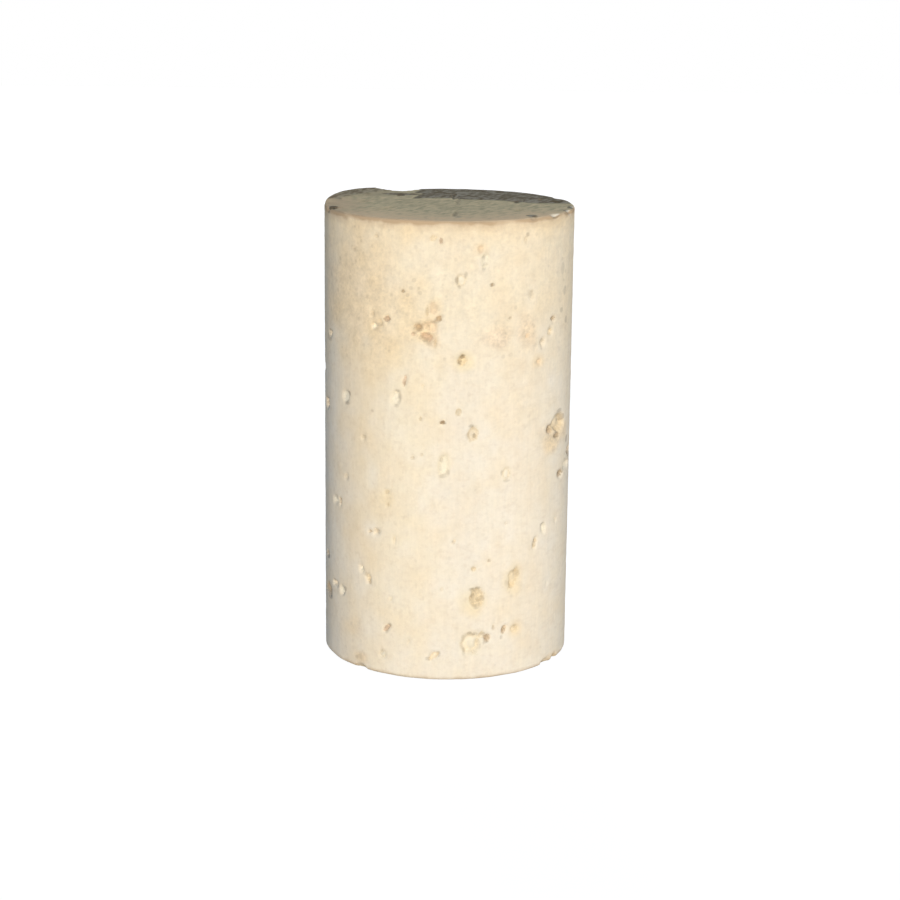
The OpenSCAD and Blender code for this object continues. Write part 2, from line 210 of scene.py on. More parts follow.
# %% The grains of bark
grains = [
    # the torn cluster
    (-15, 76.3, 0.5, 0.3, 0.35),
    (-13.3, 77.3, 1.0, 0.6, 0.35),
    (-12, 75.4, 0.5, 0.4, 0.35),
    (-10, 74.9, 0.7, 0.4, 0.45),
    (-8.3, 74.1, 0.6, 0.35, 0.3),
    (-9.5, 80.8, 0.35, 1.0, 0.25),
    (-5.8, 78.8, 0.7, 0.35, 0.35),
    (-5.6, 74, 0.35, 0.8, 0.35),
    (-4.2, 79.4, 0.6, 0.5, 0.5),
    # the upper part, from left to right
    (-71.5, 99.4, 0.7, 0.5, 0.6),
    (-72, 72, 0.8, 0.8, 0.3),
    (-58, 90, 0.5, 0.4, 0.2),
    (-50, 86.5, 0.5, 0.4, 0.2),
    (-47, 92.5, 0.5, 0.35, 0.25),
    (-44, 78, 0.4, 0.4, 0.2),
    (-41, 72.5, 0.4, 0.4, 0.2),
    (-39, 83, 0.4, 0.4, 0.15),
    (-36, 79.4, 0.5, 0.35, 0.3),
    (-34, 96, 0.6, 0.35, 0.25),
    (-32, 77.4, 0.7, 0.35, 0.3),
    (-28.5, 78.7, 0.7, 0.5, 0.4),
    (-26, 84, 0.4, 0.35, 0.15),
    (-20.5, 85, 0.5, 0.35, 0.55),
    (-3.3, 95.7, 0.35, 0.6, 0.35),
    (3.5, 87.6, 0.35, 0.7, 0.5),
    (4.8, 86.2, 0.45, 0.35, 0.25),
    (5.3, 70.2, 0.4, 0.4, 0.45),
    (6.6, 71.4, 0.5, 0.45, 0.75),
    (7.5, 88.8, 0.35, 0.6, 0.35),
    (15.3, 89.8, 0.35, 0.4, 0.3),
    (15.5, 92.3, 0.4, 0.5, 0.25),
    (16.5, 90.8, 0.5, 0.35, 0.25),
    (19.5, 86.5, 0.55, 0.35, 0.65),
    (28.5, 79.2, 0.35, 0.35, 0.4),
    (36, 95.3, 0.35, 0.8, 0.2),
    (37, 96.6, 0.4, 0.35, 0.5),
    (40, 83.9, 0.4, 0.8, 0.2),
    (46.8, 72.2, 0.4, 0.7, 0.25),
    (47.5, 73.4, 0.6, 0.4, 0.35),
    (55.5, 77.7, 0.9, 0.35, 0.55),
    (63.5, 88, 0.8, 1.2, 0.2),
    (66.5, 83, 0.8, 0.9, 0.25),
    (63, 79, 0.7, 0.5, 0.3),
    (69, 76.5, 0.8, 0.7, 0.3),
    # the middle
    (-74, 57, 1.2, 0.8, 0.55),
    (-69.5, 73.5, 0.9, 0.4, 0.35),
    (-69.5, 71.6, 0.9, 0.4, 0.35),
    (-52.5, 59, 0.9, 0.35, 0.5),
    (-52, 59.2, 0.6, 0.4, 0.4),
    (-51, 61.3, 0.5, 0.35, 0.5),
    (-50.6, 61.2, 0.4, 0.5, 0.5),
    (-41, 52.6, 0.7, 0.35, 0.2),
    (-36, 58.6, 0.35, 0.35, 0.3),
    (-23.3, 60.4, 0.5, 0.35, 0.3),
    (-23, 63.6, 0.6, 0.35, 0.3),
    (-21.7, 62.2, 0.35, 0.9, 0.25),
    (-19.5, 65.3, 0.35, 0.5, 0.45),
    (-15.5, 49.3, 0.5, 0.35, 0.35),
    (-12, 57.9, 0.35, 0.4, 0.35),
    (-11.5, 50.2, 0.4, 0.4, 0.2),
    (-2, 57.3, 0.6, 0.35, 1.0),
    (-1.5, 71, 0.35, 0.35, 0.2),
    (-2.5, 49.1, 0.35, 0.5, 0.3),
    (-2, 45.7, 0.7, 0.35, 0.35),
    (0.5, 46.6, 0.35, 0.6, 0.3),
    (5, 59.5, 0.6, 0.7, 0.15),
    (9, 54.5, 0.35, 0.8, 0.2),
    (10.7, 56.6, 0.5, 0.35, 0.45),
    (12.3, 54.3, 0.4, 0.5, 0.6),
    (25.6, 45.9, 0.35, 0.6, 0.25),
    (28, 44.1, 0.7, 0.35, 0.3),
    (54.5, 53.4, 1.3, 0.5, 0.8),
    (61, 51.4, 1.3, 0.4, 0.5),
    (63, 56.9, 1.2, 0.4, 0.4),
    (68, 55, 0.6, 0.8, 0.45),
    (66, 42.5, 1.3, 0.5, 0.75),
    (74, 49.5, 0.8, 0.8, 0.4),
    (80, 45.5, 1.0, 0.7, 0.5),
    # the lower part, from left to right
    (-75, 22.3, 1.4, 0.8, 0.6),
    (-74, 14.3, 1.8, 0.9, 0.6),
    (-73.5, 15.6, 1.0, 0.5, 0.45),
    (-71.5, 13.4, 1.6, 0.9, 0.45),
    (-65, 17.7, 0.7, 0.35, 0.35),
    (-58.5, 36.6, 0.4, 0.6, 0.5),
    (-54, 17, 0.5, 0.5, 0.35),
    (-43, 2.7, 0.9, 0.5, 0.25),
    (-39.5, 22, 0.35, 0.6, 0.3),
    (-37.7, 20.7, 0.4, 0.7, 0.5),
    (-37.3, 31.8, 0.4, 0.35, 0.45),
    (-33.5, 32.1, 0.8, 0.4, 0.3),
    (-30.5, 5, 0.35, 0.8, 0.25),
    (-28, 10.4, 0.5, 0.7, 0.35),
    (-28, 41.2, 0.5, 0.4, 0.2),
    (-27.5, 38.4, 0.35, 0.45, 0.25),
    (-26.3, 11.6, 0.45, 0.35, 0.3),
    (-8, 4.8, 0.5, 0.4, 0.3),
    (-3, 6, 0.45, 0.6, 0.25),
    (3.3, 31.1, 0.35, 0.4, 0.3),
    (8, 9.5, 0.35, 0.9, 0.25),
    (8.5, 6.3, 0.35, 0.7, 0.25),
    (11, 10.6, 0.5, 0.4, 0.35),
    (13, 10.3, 0.5, 0.35, 0.3),
    (14.8, 8.6, 0.4, 0.5, 0.25),
    (13.6, 6.3, 0.5, 0.35, 0.15),
    (17.5, 10.2, 0.5, 0.35, 0.3),
    (18, 8.3, 0.4, 0.4, 0.3),
    (12, 20.5, 0.7, 0.35, 0.35),
    (14.6, 20.7, 0.7, 0.35, 0.35),
    (12.6, 18.8, 0.4, 0.6, 0.3),
    (15.4, 17.9, 0.5, 0.5, 0.35),
    (12.5, 25.2, 0.6, 0.35, 0.2),
    (14, 16.4, 0.6, 0.4, 0.3),
    (15.5, 7.3, 0.4, 0.5, 0.2),
    (17, 18.2, 0.4, 0.6, 0.3),
    (19.8, 9.1, 0.4, 0.8, 0.5),
    (20, 26.6, 0.35, 0.35, 0.3),
    (22.4, 11.4, 0.35, 0.4, 0.3),
    (26.5, 9, 0.35, 0.4, 0.35),
    (27.8, 10.8, 0.4, 0.6, 0.55),
    (28.5, 21.2, 0.35, 0.7, 0.2),
    (32.5, 23.6, 0.6, 0.35, 0.3),
    (34, 10.9, 0.6, 0.35, 0.2),
    (35, 22.9, 0.35, 0.7, 0.25),
    (31, 20.3, 0.35, 0.4, 0.2),
    (45, 29.1, 0.45, 1.0, 0.3),
    (50, 32.6, 0.8, 0.35, 0.35),
]
print(len(grains), "grains of bark")

# %% [markdown]
# ## The pores of the back
# The back's pores follow a rule instead of a table. Three ratios that never fall into step give
# the turn, the height and the size, which spreads the mouths evenly but never in rows. Where the
# side runs along a pore and not across it, the mouth is drawn out round the plug: its width is
# its height over the cosine of its turn from the bark's, up to a longest one.

# %% The pores of the back
back_pores = 66
back_from, back_to = 88, 278
back_least, back_most, back_deep = 0.4, 2.0, 0.5
longest_mouth = 4.5
least_cosine = 0.01
shallow = 0.3
even = (0.754878, 0.56984, 0.618034)
back_kinds = ("faint", "ochre", "dark", "rust", "torn", "ring")


def back_pore(i):
    """Mouth number i of the back. The cube of the third ratio makes most mouths small."""
    turn = back_from + (back_to - back_from) * (even[0] * i % 1)
    share = (even[2] * i % 1) ** 3
    tall = back_least + (back_most - back_least) * share
    across = max(abs(np.cos(np.radians(turn - bark_turn))), least_cosine)
    wide = min(tall / across, longest_mouth)
    deep = back_deep * (shallow + (1 - shallow) * share)
    return turn, 100 * (even[1] * i % 1), wide, tall, deep, 0, back_kinds[i % len(back_kinds)]


side_pores = front_pores + [back_pore(i) for i in range(1, back_pores + 1)]
print(len(side_pores), "pores on the side")

# %% [markdown]
# ## The ends and the edges
# The ends are sawn across the plug and run along the pores, so these mouths are thin slits that
# all point nearly the same way. The edges were knocked about, and small bites are missing. A
# bite is what a ball takes that comes in at a slope, as a spoon takes from butter.

# %% The ends and the edges
# upper end 1 or lower end 0, turn, distance from the middle in per cent of the radius, length,
# width, depth, turn from the bark's, kind
end_pores = [
    (1, 175, 48, 4.6, 0.35, 0.2, 22, "faint"),
    (1, 150, 15, 5.2, 0.3, 0.15, 22, "faint"),
    (1, 5, 58, 5.0, 0.35, 0.2, 20, "faint"),
    (1, 110, 60, 3.2, 0.5, 0.3, 4, "faint"),
    (1, 115, 82, 1.2, 0.6, 0.35, 4, "dark"),
    (1, 102, 88, 1.0, 0.5, 0.3, 10, "dark"),
    (1, -60, 55, 3.4, 0.4, 0.25, -6, "faint"),
    (1, -72, 92, 1.4, 0.7, 0.35, 10, "dark"),
    (1, -100, 70, 2.2, 0.5, 0.3, 3, "faint"),
    (1, -141, 65, 1.4, 0.5, 0.3, 0, "faint"),
    (1, 60, 65, 2.0, 0.45, 0.3, -3, "faint"),
    (0, 20, 45, 5.5, 0.45, 0.3, 4, "ochre"),
    (0, 170, 40, 4.2, 0.4, 0.3, -5, "rust"),
    (0, 90, 60, 3.0, 0.5, 0.35, 2, "dark"),
    (0, -85, 55, 4.0, 0.45, 0.3, 6, "ochre"),
    (0, -130, 70, 2.0, 0.4, 0.25, -4, "faint"),
]
# turn, upper end 1 or lower end 0, width, depth, slope of the bite
bites = [
    (41, 1, 1.4, 0.3, 45),
    (56, 1, 1.8, 0.35, 60),
    (71, 1, 1.6, 0.4, 45),
    (84, 1, 1.4, 0.3, 60),
    (-73, 1, 2.2, 0.35, 60),
    (117, 1, 1.6, 0.35, 70),
    (-43, 0, 2.0, 0.45, 35),
    (55, 0, 2.4, 0.4, 30),
    (63, 0, 1.6, 0.5, 30),
    (150, 0, 2.0, 0.35, 45),
    (-110, 0, 1.6, 0.3, 45),
    (-156, 1, 5.0, 0.45, 72),
]
print(len(end_pores), "pores on the ends,", len(bites), "bites out of the edges")

# %% [markdown]
# ## A grid for the side and one for each end
# A tube of rings makes the side and both worn edges. An end could be closed by rings that shrink
# to a point, but that crowds the middle with slivers. Instead a square grid is pushed out to a
# disc. Its cells stay nearly square, and its border has just as many points as a ring of the
# tube, so the two share them and no seam is left.

# %% A grid for the side and one for each end
across = 96
around = 4 * across
side_rows = 196
edge_rows = 5


def tube_profile():
    """The rows of the tube from the lower rim to the upper: each row's share of the height, and
    its edge angle, which goes from -90 to 0 round the lower edge and 0 to 90 round the upper."""
    quarter = np.linspace(0, 90, edge_rows + 1)[1:]
    side = np.linspace(0, 1, side_rows + 1)
    share = np.concatenate([np.zeros(edge_rows), side, np.ones(edge_rows)])
    edge = np.concatenate([-quarter[::-1], np.zeros(side_rows + 1), quarter])
    return share, edge


def disc_grid():
    """A square grid pushed out to a unit disc. A point's distance from the middle is the larger
    of its coordinates, and its angle is 45 degrees times the smaller over the larger."""
    line = np.linspace(-1, 1, across + 1)
    x, y = np.meshgrid(line, line, indexing="ij")
    flat = np.abs(x) >= np.abs(y)
    far, near = np.where(flat, x, y), np.where(flat, y, x)
    angle = np.pi / 4 * near / np.where(far == 0, 1, far)
    along, beside = far * np.cos(angle), far * np.sin(angle)
    disc = np.stack([np.where(flat, along, beside), np.where(flat, beside, along)], -1)
    return disc, np.maximum(np.abs(x), np.abs(y)) < 1


share, edge = tube_profile()
turns = np.arange(around) * 360 / around
disc, inner = disc_grid()
disc_turn = np.degrees(np.arctan2(disc[..., 0], -disc[..., 1])) % 360
print("side grid", around, "by", len(share), "and each end", across, "by", across)

# %% [markdown]
# ## Noise for the hand of nature
# Marks cut by rule look drilled, so the rules are bent by noise. It is a random value at each
# corner of a lattice with a smooth blend in between. Whole numbers pick the value of a corner,
# so the same cork comes out every time.

# %% Noise for the hand of nature
noise_seed = 44
noise_values = 4096
noise_table = np.random.default_rng(noise_seed).uniform(-1, 1, noise_values)
lattice_steps = np.array([73856093, 19349663, 83492791])
seed_step = 17.3


def ease(value, start, end):
    """0 up to start, 1 from end on, and the smooth rise 3t2 - 2t3 between."""
    t = np.clip((value - start) / (end - start), 0, 1)
    return t * t * (3 - 2 * t)


def noise(points, size, seed=0):
    """Noise from -1 to 1 with lumps about as wide as size: the sum of the eight corner values,
    each times its nearness along x, y and z."""
    place = points / size + seed * seed_step
    corner = np.floor(place).astype(np.int64)
    part = ease(place - corner, 0, 1)
    total = np.zeros(points.shape[:-1])
    for step in np.ndindex(2, 2, 2):
        number = ((corner + step) * lattice_steps).sum(-1) % noise_values
        nearness = np.where(np.array(step) == 1, part, 1 - part).prod(-1)
        total += nearness * noise_table[number]
    return total


# %% [markdown]
# ## The plain form
# Each point starts on the plain plug, with the direction in which the cork faces there. The worn
# edge's radius wanders a little, and it shrinks where the lip stands up, because the lip is sharp.

# %% The plain form
wear_mean = 0.9
wear_spread = 0.35
wear_size = 2.2
lip_sharp = 0.75
lip_sharp_at = 0.15


def lip_rise(points):
    """How far the lip lifts the upper end: in proportion to the way past a line across it."""
    past = points @ heading(lip_turn) - lip_in
    return lip_h * np.clip(past, 0, None) / lip_w


def tube_points(turn, share, edge):
    """Points and outward directions of the side: a wall between two quarter rounds."""
    out = heading(turn)
    rim = out * plug_r
    worn = edge_r * (wear_mean + wear_spread * noise(rim + np.sign(edge)[..., None], wear_size))
    sharp = 1 - lip_sharp * ease(lip_rise(rim), 0, lip_sharp_at)
    worn = np.where(edge > 0, worn * sharp, worn)
    angle = np.radians(edge)
    points = out * (plug_r - worn + worn * np.cos(angle))[..., None]
    points[..., 2] = worn + (plug_l - 2 * worn) * share + worn * np.sin(angle)
    facing = out * np.cos(angle)[..., None]
    facing[..., 2] = np.sin(angle)
    return points, facing


def end_points(ring, up):
    """Points and outward directions of an end: the unit disc times the radius of its ring."""
    ring_r = np.hypot(ring[:, 0], ring[:, 1])
    rim_r = np.interp(disc_turn, np.append(turns, 360), np.append(ring_r, ring_r[0]))
    level = np.full_like(rim_r, ring[0, 2])
    points = np.dstack([disc * rim_r[..., None], level])
    return points, np.broadcast_to([0, 0, up], points.shape)


turn_grid, share_grid = np.meshgrid(turns, share, indexing="ij")
edge_grid = np.broadcast_to(edge, share_grid.shape)
tube, tube_facing = tube_points(turn_grid, share_grid, edge_grid)
lower, lower_facing = end_points(tube[:, 0], -1)
upper, upper_facing = end_points(tube[:, -1], 1)
print("tube from", tube[..., 2].min().round(3), "to", tube[..., 2].max().round(3), "mm")

# %% [markdown]
# ## One list of points and faces
# The ends have points of their own only inside. Along the border they take the numbers of the
# tube's first or last ring. A quad is drawn as two triangles, and its first corner decides where
# the cut runs, so in two quarters of a disc the corners start one further on, which keeps thin
# triangles off the rim.

# %% One list of points and faces
def corners(grid):
    """The four corners of each cell of a grid, against the clock seen from outside."""
    return np.stack([grid[:-1, :-1], grid[1:, :-1], grid[1:, 1:], grid[:-1, 1:]], 2)


def end_corners(grid, up):
    """The corners of an end's cells, with the cut through the middle, for either side up."""
    cells = corners(grid)
    middle = corners(disc).mean(2)
    crossed = (middle.prod(-1) < 0).reshape(middle.shape[:2] + (1,) * (cells.ndim - 2))
    cells = np.where(crossed, np.roll(cells, -1, 2), cells)
    return cells if up > 0 else cells[:, :, [0, 3, 2, 1]]


def end_numbers(first, ring):
    """Point numbers of an end's grid: new ones inside, the ring's own along the border."""
    numbers = np.empty(inner.shape, int)
    numbers[inner] = first + np.arange(inner.sum())
    numbers[~inner] = ring[np.rint(disc_turn[~inner] * around / 360).astype(int) % around]
    return numbers


tube_numbers = np.arange(tube[..., 0].size).reshape(tube.shape[:2])
lower_numbers = end_numbers(tube_numbers.size, tube_numbers[:, 0])
upper_numbers = end_numbers(tube_numbers.size + inner.sum(), tube_numbers[:, -1])
points = np.concatenate([tube.reshape(-1, 3), lower[inner], upper[inner]])
facing = np.concatenate([tube_facing.reshape(-1, 3), lower_facing[inner], upper_facing[inner]])
faces = np.concatenate([
    corners(np.concatenate([tube_numbers, tube_numbers[:1]])).reshape(-1, 4),
    end_corners(lower_numbers, -1).reshape(-1, 4),
    end_corners(upper_numbers, 1).reshape(-1, 4),
])
print(len(points), "points,", 2 * len(faces), "triangles")

# %% [markdown]
# ## Open the pores
# Each mouth is laid on the skin by how far inside it a point is: 1 in its middle, 0 on its rim
# and less outside. That one number does two jobs. Here it says how deep the skin sinks, and
# later the finish bends it with finer noise, so that the colour has a sharper rim than the mesh
# could carry. Where two mouths meet, a point belongs to the one that it is further inside. The
# thinnest slits of the ends are widened a little, or they would fall between the grid's points.

# %% Open the pores
# how far inside or outside: where a mark ends, how much its rim frays, where its wall meets the
# floor and where an island is full; then the floor's relief as a share of the depth
mark_reach = 0.8
fray_by = 0.35
wall_foot = 0.4
island_rim = 0.7
floor_relief = 0.3
# the least width of a slit in mm, and how far up or down the skin faces where an end begins
least_slit = 0.6
end_from = 0.8
turn_of = np.degrees(np.arctan2(points[:, 0], -points[:, 1]))
is_side = np.abs(facing[:, 2]) < end_from
fray = 0.6 * noise(points, 0.5) + 0.4 * noise(points, 0.25, 1)
floor_bumps = noise(points, 0.35, 2)
depth = np.zeros(len(points))
marks = {name: np.zeros(len(points)) for name in kinds["faint"]}
marks["mouth"] = np.full(len(points), -1.0)


def side_distance(turn, height):
    """How far each point lies beside and above a place on the side, in mm, as a pair."""
    away = (turn_of - turn + 180) % 360 - 180
    return np.radians(away) * plug_r, points[:, 2] - plug_l * height / 100


def inside(across_it, along_it, wide, tall, lean):
    """How far inside a mouth: 1 less the distance from its middle, measured in half widths."""
    angle = np.radians(lean)
    beside = across_it * np.cos(angle) - along_it * np.sin(angle)
    ahead = across_it * np.sin(angle) + along_it * np.cos(angle)
    return 1 - np.hypot(beside * 2 / wide, ahead * 2 / tall)


def stamp(chosen, within, deep, kind):
    """Sinks the chosen points and notes the mark. The wall falls from the ragged rim to an
    uneven floor, and an island may stand in the middle."""
    mouth = within + fray_by * fray[chosen]
    island = kind["island"] * ease(mouth, wall_foot, island_rim)
    rough = 1 + floor_relief * floor_bumps[chosen]
    sunk = deep * ease(mouth, 0, wall_foot) * (1 - island) * rough
    depth[chosen] = np.maximum(depth[chosen], sunk)
    won = (mouth > marks["mouth"][chosen]) & (within > -mark_reach)
    marks["mouth"][chosen[won]] = mouth[won]
    for name in kind:
        marks[name][chosen[won]] = kind[name]


for turn, height, wide, tall, deep, lean, kind in side_pores:
    across_it, along_it = side_distance(turn, height)
    near = is_side & (np.maximum(np.abs(across_it), np.abs(along_it)) < max(wide, tall))
    chosen = np.flatnonzero(near)
    within = inside(across_it[chosen], along_it[chosen], wide, tall, lean)
    stamp(chosen, within, deep, kinds[kind])

for end, turn, out, long, wide, deep, off_bark, kind in end_pores:
    ahead = heading(bark_turn + off_bark)
    beside = heading(bark_turn + off_bark + 90)
    from_middle = points - heading(turn) * plug_r * out / 100
    near = (facing[:, 2] * (2 * end - 1) > end_from) & (np.abs(from_middle @ ahead) < long)
    chosen = np.flatnonzero(near)
    wide = max(wide, least_slit)
    within = inside(from_middle[chosen] @ beside, from_middle[chosen] @ ahead, wide, long, 0)
    stamp(chosen, within, deep, kinds[kind])
print("deepest pore", depth.max().round(2), "mm")

# %% [markdown]
# ## Lay the grains
# A grain keeps its distance from the rim in mm instead of in half widths, so that the finish can
# give small and large grains the same soft rim.

# %% Lay the grains
marks["grain"] = np.full(len(points), -1.0)
marks["darkness"] = np.zeros(len(points))
for turn, height, wide, tall, darkness in grains:
    within = inside(*side_distance(turn, height), wide, tall, 0) * min(wide, tall) / 2
    won = is_side & (within > marks["grain"])
    marks["grain"][won] = within[won]
    marks["darkness"][won] = darkness
print("points under a grain:", int((marks["grain"] > 0).sum()))

# %% [markdown]
# ## Waves, lip and bites
# Cork is soft, so the punch leaves it slightly wavy. Then the lip lifts the upper end. The bites
# come last: a point that lies inside the ball is pushed on to the ball's surface, which shows
# fresh cork.

# %% Waves, lip and bites
# depth and width of the waves and of the ripples on them, and how ragged a bite is, in mm
wave_deep, wave_wide = 0.014, 1.1
ripple_deep, ripple_wide = 0.008, 0.4
bite_fray = 0.08
waves = wave_deep * (1 + noise(points, wave_wide, 3))
waves = waves + ripple_deep * (1 + noise(points, ripple_wide, 4))
form = points - facing * (depth + waves)[:, None]
looks_up = facing[:, 2] > 0.05
form[looks_up, 2] += lip_rise(points[looks_up])
fresh = np.zeros(len(points))
for turn, end, wide, deep, slope in bites:
    ball_r = (wide * wide / 4 + deep * deep) / (2 * deep)
    angle = np.radians(slope)
    outward = heading(turn) * np.cos(angle) + [0, 0, (2 * end - 1) * np.sin(angle)]
    middle = heading(turn) * plug_r + [0, 0, end * plug_l] + outward * (ball_r - deep)
    away = np.linalg.norm(form - middle, axis=1)
    reach = ball_r + bite_fray * fray
    bitten = away < reach
    ray = (form[bitten] - middle) / away[bitten, None]
    form[bitten] = middle + ray * reach[bitten, None]
    fresh = np.maximum(fresh, ease(reach - away, -0.05, 0.1))
print("bitten points:", int((fresh > 0.5).sum()))

# %% [markdown]
# ## Where the side is warmer
# Cork is never one tone. Broad soft stains are kept on the points too, as numbers that the
# finish reads. A stain is an ellipse on the side that fades out from its middle. It adds tan,
# rose and butter, and a number below zero takes that tone away. The upper part is a little
# warmer all round. Away from the front the side turns a little rosier and less yellow, which is
# a painted tint that follows the fall of the front lamp's light round the plug.

# %% Where the side is warmer
# turn, height in per cent of the length, width, height in mm, and how much tan, rose and butter
stains = [
    (-45, 84, 16, 16, 0.4, 0.2, -0.2),
    (-25, 78, 10, 14, 0.2, 0.15, 0.0),
    (-25, 45, 12, 70, 0.0, 0.15, 0.3),
    (-50, 50, 7, 90, 0.0, 0.2, 0.0),
    (-9, 77, 3.6, 5.0, 0.4, 0.2, 0.0),
    (-8.5, 76.4, 2.8, 3.6, 1.6, 0.4, -0.4),
    (-6, 82, 2.0, 2.6, 0.8, 0.2, 0.0),
    (14, 94, 2.0, 1.8, 0.2, 0.3, 0.0),
    (21.8, 75.6, 4.2, 3.6, 1.2, -0.1, -0.4),
    (37, 75.2, 3.4, 4.6, 0.9, 0.1, -0.3),
    (45.5, 69, 2.4, 1.8, 0.3, 0.3, 0.0),
    (6.5, 70.2, 2.6, 2.8, 0.0, 0.2, 0.7),
    (36, 60, 9, 8, 0.15, 0.1, 0.1),
    (59, 52, 6.0, 4.4, 1.2, 0.3, 0.1),
    (-30, 42, 4, 8, 0.15, 0.1, 0.0),
    (-28, 40, 2.4, 2.4, 0.4, 0.1, 0.3),
    (-1.5, 48, 1.8, 3.4, 0.3, 0.0, 0.4),
    (-45, 8.5, 3.6, 3.0, 0.5, 0.1, 0.0),
    (-43, 2.7, 2.4, 1.8, 0.9, 0.2, 0.0),
    (34, 10.5, 2.4, 3.0, 0.0, 0.5, 0.1),
    (32.5, 22, 3.0, 4.0, 0.3, 0.2, 0.5),
    (13.5, 18, 4.0, 4.2, 0.0, 0.3, 0.7),
    (12, 8.2, 3.4, 3.6, 0.1, 0.1, 0.5),
    (60, 0.5, 5, 1.4, 0.3, 0.3, 0.0),
    (120, 65, 18, 20, 0.4, 0.2, 0.1),
    (-150, 30, 16, 20, 0.3, 0.2, 0.1),
]
below_top = plug_l - points[:, 2] + 0.12 * noise(points, 0.8, 7)
# a painted tint: the side turns rosier and less yellow as it turns away from the front lamp
painted_flank_tint = ease(np.abs(turn_of), 10, 45)
upper_part = ease(points[:, 2], 24, 38)


def plain_tone(everywhere, on_flank, higher_up):
    """A tone without its stains: a strength everywhere, plus one on the flanks and one higher
    up. A strength below zero takes away."""
    return everywhere + on_flank * painted_flank_tint + higher_up * upper_part


warm = plain_tone(0.1, 0.0, 0.3)
rosy = plain_tone(0.04, 0.15, 0.1) + 0.35 * (1 - ease(below_top, 0.3, 3))
butter = plain_tone(0.1, -0.05, 0.3)
for turn, height, wide, tall, tan, rose, yellow in stains:
    within = inside(*side_distance(turn, height), wide, tall, 0)
    here = ease(within + 0.3 * noise(points, 1.5, 5), 0, 0.8)
    warm += tan * here
    rosy += rose * here
    butter += yellow * here
print("mean warmth", warm.mean().round(2))

# %% [markdown]
# ## Where the ends are darker
# On the upper end, a growth band towards the back is dark. It is an arc, because the trunk grows
# in rings. It breaks off left of the middle and thins out at the right. Small brown marks lie
# about it, and a mark whose brown is above 1 is nearly black. The left edge is brown. Towards the
# front the end turns a lighter tan, which is a painted highlight on the side facing the front
# lamp.
# The rims are darker too, most of all the upper one, which is rubbed; along the lower rim the
# darker tone is painted shade where the cork stands on the floor. The fresh chips at the upper
# rim's right front are pale.

# %% Where the ends are darker
# turn, distance from the middle in per cent of the radius, width, depth in plan, how brown
end_marks = [
    (-71.5, 97, 1.1, 2.8, 2.4),
    (-104, 94, 1.2, 1.8, 0.6),
    (172, 48, 1.0, 1.4, 1.1),
    (104, 67, 1.3, 1.4, 0.9),
    (103, 88, 1.6, 1.6, 1.5),
    (82, 98, 0.8, 2.0, 1.3),
    (70, 98, 0.9, 1.6, 0.8),
    (44, 91, 1.2, 1.6, 0.8),
    (42, 99, 1.8, 1.4, 0.6),
    (5, 76, 1.0, 1.6, 0.5),
    (-146, 72, 4.6, 1.8, 0.9),
]
band_round = 17
band_in = 4.3
band_soft = 0.8
ring_middle = (-2.0, band_in - band_round)
ring = np.hypot(points[:, 0] - ring_middle[0], points[:, 1] - ring_middle[1])
ragged = 0.7 * noise(points, 1.2, 6)
band = ease(ring + ragged, band_round - band_soft, band_round + band_soft)
left_stop = ease(points[:, 0] + 1.3 * ragged, -3.4, -2.8)
right_end = ease(points[:, 0], 7.5, 9.5) * (1 - ease(points[:, 1] + ragged, 0.6, 1.8))
band = band * left_stop * (1 - 0.8 * right_end)
for turn, out, wide, tall, browned in end_marks:
    away = points - heading(turn) * plug_r * out / 100
    here = ease(inside(away[:, 0], away[:, 1], wide, tall, 0), -0.2, 0.5)
    band = np.maximum(band, browned * here)
left_edge = ease(-points[:, 0], 6.5, 11.8) * (1 - ease(points[:, 1], 0, 6))
rear_left = ease(-points[:, 0], 2, 6) * ease(points[:, 1], 3.5, 6.5)
band = np.maximum(band, 0.4 * rear_left)
band = np.maximum(band, 0.6 * ease(lip_rise(points), 0, 0.2))
on_upper = facing[:, 2] > 0.5
from_edge = plug_r - np.hypot(points[:, 0], points[:, 1])
# a painted highlight: the upper end turns a lighter tan near its front rim, most where it faces
# the front lamp
front_highlight = (1 - ease(from_edge, -1, 8)) * ease(np.cos(np.radians(turn_of)), 0.1, 0.8)
end_of_it = ease(np.abs(facing[:, 2]), 0.6, 0.95)
upper_rub = 1 - 0.75 * ease(below_top, 0.2, 0.6) - 0.25 * ease(below_top, 0.5, 1.4)
# painted shade: the side darkens along its lower rim, where it stands on the floor
lower_rim_shade = 0.5 * (1 - ease(points[:, 2], 0.05, 0.5))
left_rub = np.where(on_upper, 0.45 * left_edge * (1 - np.minimum(band, 1)), 0)
chipped = (plug_l - points[:, 2] < 2) & (points[:, 1] < 0) & (points[:, 0] > 9)
tones = {
    "warm": warm,
    "rosy": rosy,
    "butter": butter,
    "fresh": fresh * chipped,
    "end": end_of_it,
    "brown": np.where(on_upper, band, 0),
    # the painted highlight towards the front, and the tan of the left edge
    "strip": np.where(on_upper, np.maximum(front_highlight, 0.9 * left_edge), 0),
    # the left edge's brown, the upper rim's darker tan, and painted shade along the lower rim
    "rim": left_rub + (upper_rub + lower_rim_shade) * (1 - end_of_it),
}
print("tones kept on the points:", ", ".join(tones))

# %% [markdown]
# ## Put the skin into a mesh
# foreach_set fills Blender's arrays at once. The map unrolls the side into a rectangle, with the
# two ends above it. All of it has one scale, so a baked finish is equally sharp everywhere. The
# volume is worth a look: it is above zero only when the skin is closed and faces outwards.

# %% Put the skin into a mesh
map_margin = 0.01
ends_apart = 2.2


